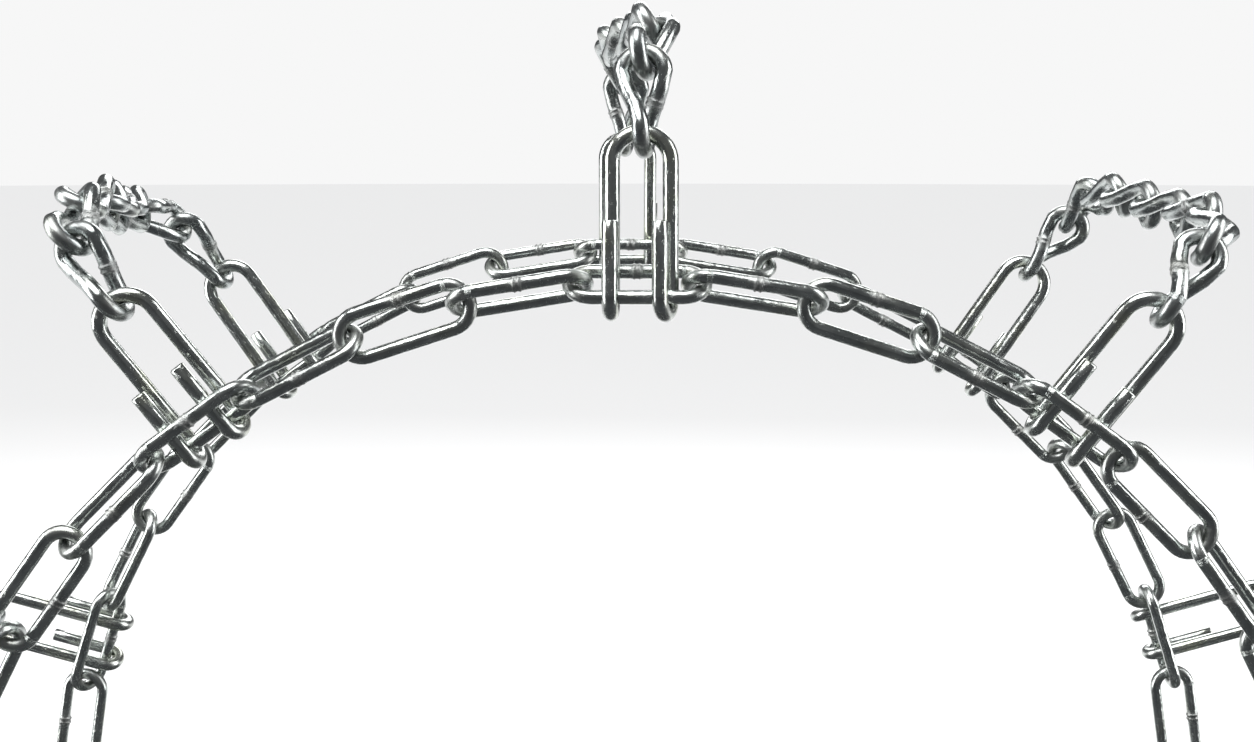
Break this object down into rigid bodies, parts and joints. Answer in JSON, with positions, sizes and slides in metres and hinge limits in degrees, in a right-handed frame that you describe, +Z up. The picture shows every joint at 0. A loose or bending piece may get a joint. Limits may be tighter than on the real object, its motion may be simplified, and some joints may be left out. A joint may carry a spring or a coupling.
{
  "type": "tire snow chains",
  "caption": "Ladder snow chain in its fitted ring shape: welded side chains joined by twisted-link cross chains with double-pronged end hooks, and a hook that closes each side.",
  "frame": {"origin": "centre of the wheel that the chain is fitted on, midway between the two side chains", "axes": "+Y along the axle from the kerb side towards the vehicle, +Z up, +X to the right as seen from the kerb side"},
  "size_m": [0.805, 0.256, 0.8385],
  "materials": {
    "side_chain_zinc": "bright zinc plated steel wire, lightly scuffed",
    "cross_chain_zinc": "bright zinc plated steel wire, lightly scuffed",
    "hook_zinc": "bright zinc plated steel wire, lightly scuffed"
  },
  "bodies": {
    "section_01": {"side_links_01": "side_chain_zinc", "cross_chain_01": "cross_chain_zinc", "outer_hook_01": "hook_zinc", "inner_hook_01": "hook_zinc"},
    "section_02": {"side_links_02": "side_chain_zinc"},
    "section_03": {"side_links_03": "side_chain_zinc", "cross_chain_02": "cross_chain_zinc", "outer_hook_02": "hook_zinc", "inner_hook_02": "hook_zinc"},
    "section_04": {"side_links_04": "side_chain_zinc"},
    "section_05": {"side_links_05": "side_chain_zinc", "cross_chain_03": "cross_chain_zinc", "outer_hook_03": "hook_zinc", "inner_hook_03": "hook_zinc"},
    "section_06": {"side_links_06": "side_chain_zinc"},
    "section_07": {"side_links_07": "side_chain_zinc", "cross_chain_04": "cross_chain_zinc", "outer_hook_04": "hook_zinc", "inner_hook_04": "hook_zinc"},
    "section_08": {"side_links_08": "side_chain_zinc"},
    "section_09": {"side_links_09": "side_chain_zinc", "cross_chain_05": "cross_chain_zinc", "outer_hook_05": "hook_zinc", "inner_hook_05": "hook_zinc"},
    "section_10": {"side_links_10": "side_chain_zinc"},
    "section_11": {"side_links_11": "side_chain_zinc", "cross_chain_06": "cross_chain_zinc", "outer_hook_06": "hook_zinc", "inner_hook_06": "hook_zinc"},
    "section_12": {"side_links_12": "side_chain_zinc"},
    "section_13": {"side_links_13": "side_chain_zinc", "cross_chain_07": "cross_chain_zinc", "outer_hook_07": "hook_zinc", "inner_hook_07": "hook_zinc"},
    "section_14": {"side_links_14": "side_chain_zinc"},
    "section_15": {"side_links_15": "side_chain_zinc", "cross_chain_08": "cross_chain_zinc", "outer_hook_08": "hook_zinc", "inner_hook_08": "hook_zinc"},
    "section_16": {"side_links_16": "side_chain_zinc"},
    "section_17": {"side_links_17": "side_chain_zinc", "cross_chain_09": "cross_chain_zinc", "outer_hook_09": "hook_zinc", "inner_hook_09": "hook_zinc"},
    "section_18": {"side_links_18": "side_chain_zinc"},
    "section_19": {"side_links_19": "side_chain_zinc", "cross_chain_10": "cross_chain_zinc", "outer_hook_10": "hook_zinc", "inner_hook_10": "hook_zinc"},
    "section_20": {"side_links_20": "side_chain_zinc"},
    "outer_fastener": {"outer_fastener": "hook_zinc"},
    "inner_fastener": {"inner_fastener": "hook_zinc"}
  },
  "joints": [
    {"name": "unwrap_02", "type": "hinge", "parent": "section_01", "child": "section_02", "pos_m": [0.07067, 0, 0.29434], "axis": [0, -1, 0], "range_deg": [0, 18]},
    {"name": "unwrap_03", "type": "hinge", "parent": "section_02", "child": "section_03", "pos_m": [0.15816, 0, 0.2581], "axis": [0, -1, 0], "range_deg": [0, 18]},
    {"name": "unwrap_04", "type": "hinge", "parent": "section_03", "child": "section_04", "pos_m": [0.23018, 0, 0.19659], "axis": [0, -1, 0], "range_deg": [0, 18]},
    {"name": "unwrap_05", "type": "hinge", "parent": "section_04", "child": "section_05", "pos_m": [0.27966, 0, 0.11584], "axis": [0, -1, 0], "range_deg": [0, 18]},
    {"name": "unwrap_06", "type": "hinge", "parent": "section_05", "child": "section_06", "pos_m": [0.30177, 0, 0.02375], "axis": [0, -1, 0], "range_deg": [0, 18]},
    {"name": "unwrap_07", "type": "hinge", "parent": "section_06", "child": "section_07", "pos_m": [0.29434, 0, -0.07067], "axis": [0, -1, 0], "range_deg": [0, 18]},
    {"name": "unwrap_08", "type": "hinge", "parent": "section_07", "child": "section_08", "pos_m": [0.2581, 0, -0.15816], "axis": [0, -1, 0], "range_deg": [0, 18]},
    {"name": "unwrap_09", "type": "hinge", "parent": "section_08", "child": "section_09", "pos_m": [0.19659, 0, -0.23018], "axis": [0, -1, 0], "range_deg": [0, 18]},
    {"name": "unwrap_10", "type": "hinge", "parent": "section_09", "child": "section_10", "pos_m": [0.11584, 0, -0.27966], "axis": [0, -1, 0], "range_deg": [0, 18]},
    {"name": "unwrap_20", "type": "hinge", "parent": "section_01", "child": "section_20", "pos_m": [-0.02375, 0, 0.30177], "axis": [0, 1, 0], "range_deg": [0, 18]},
    {"name": "unwrap_19", "type": "hinge", "parent": "section_20", "child": "section_19", "pos_m": [-0.11584, 0, 0.27966], "axis": [0, 1, 0], "range_deg": [0, 18]},
    {"name": "unwrap_18", "type": "hinge", "parent": "section_19", "child": "section_18", "pos_m": [-0.19659, 0, 0.23018], "axis": [0, 1, 0], "range_deg": [0, 18]},
    {"name": "unwrap_17", "type": "hinge", "parent": "section_18", "child": "section_17", "pos_m": [-0.2581, 0, 0.15816], "axis": [0, 1, 0], "range_deg": [0, 18]},
    {"name": "unwrap_16", "type": "hinge", "parent": "section_17", "child": "section_16", "pos_m": [-0.29434, 0, 0.07067], "axis": [0, 1, 0], "range_deg": [0, 18]},
    {"name": "unwrap_15", "type": "hinge", "parent": "section_16", "child": "section_15", "pos_m": [-0.30177, 0, -0.02375], "axis": [0, 1, 0], "range_deg": [0, 18]},
    {"name": "unwrap_14", "type": "hinge", "parent": "section_15", "child": "section_14", "pos_m": [-0.27966, 0, -0.11584], "axis": [0, 1, 0], "range_deg": [0, 18]},
    {"name": "unwrap_13", "type": "hinge", "parent": "section_14", "child": "section_13", "pos_m": [-0.23018, 0, -0.19659], "axis": [0, 1, 0], "range_deg": [0, 18]},
    {"name": "unwrap_12", "type": "hinge", "parent": "section_13", "child": "section_12", "pos_m": [-0.15816, 0, -0.2581], "axis": [0, 1, 0], "range_deg": [0, 18]},
    {"name": "unwrap_11", "type": "hinge", "parent": "section_12", "child": "section_11", "pos_m": [-0.07067, 0, -0.29434], "axis": [0, 1, 0], "range_deg": [0, 18]},
    {"name": "outer_hook_close", "type": "hinge", "parent": "section_10", "child": "outer_fastener", "pos_m": [0.06734, 0, -0.29542], "axis": [0, 1, 0], "range_deg": [-30, 50]},
    {"name": "inner_hook_close", "type": "hinge", "parent": "section_10", "child": "inner_fastener", "pos_m": [0.06734, 0, -0.29542], "axis": [0, 1, 0], "range_deg": [-30, 48]}
  ]
}
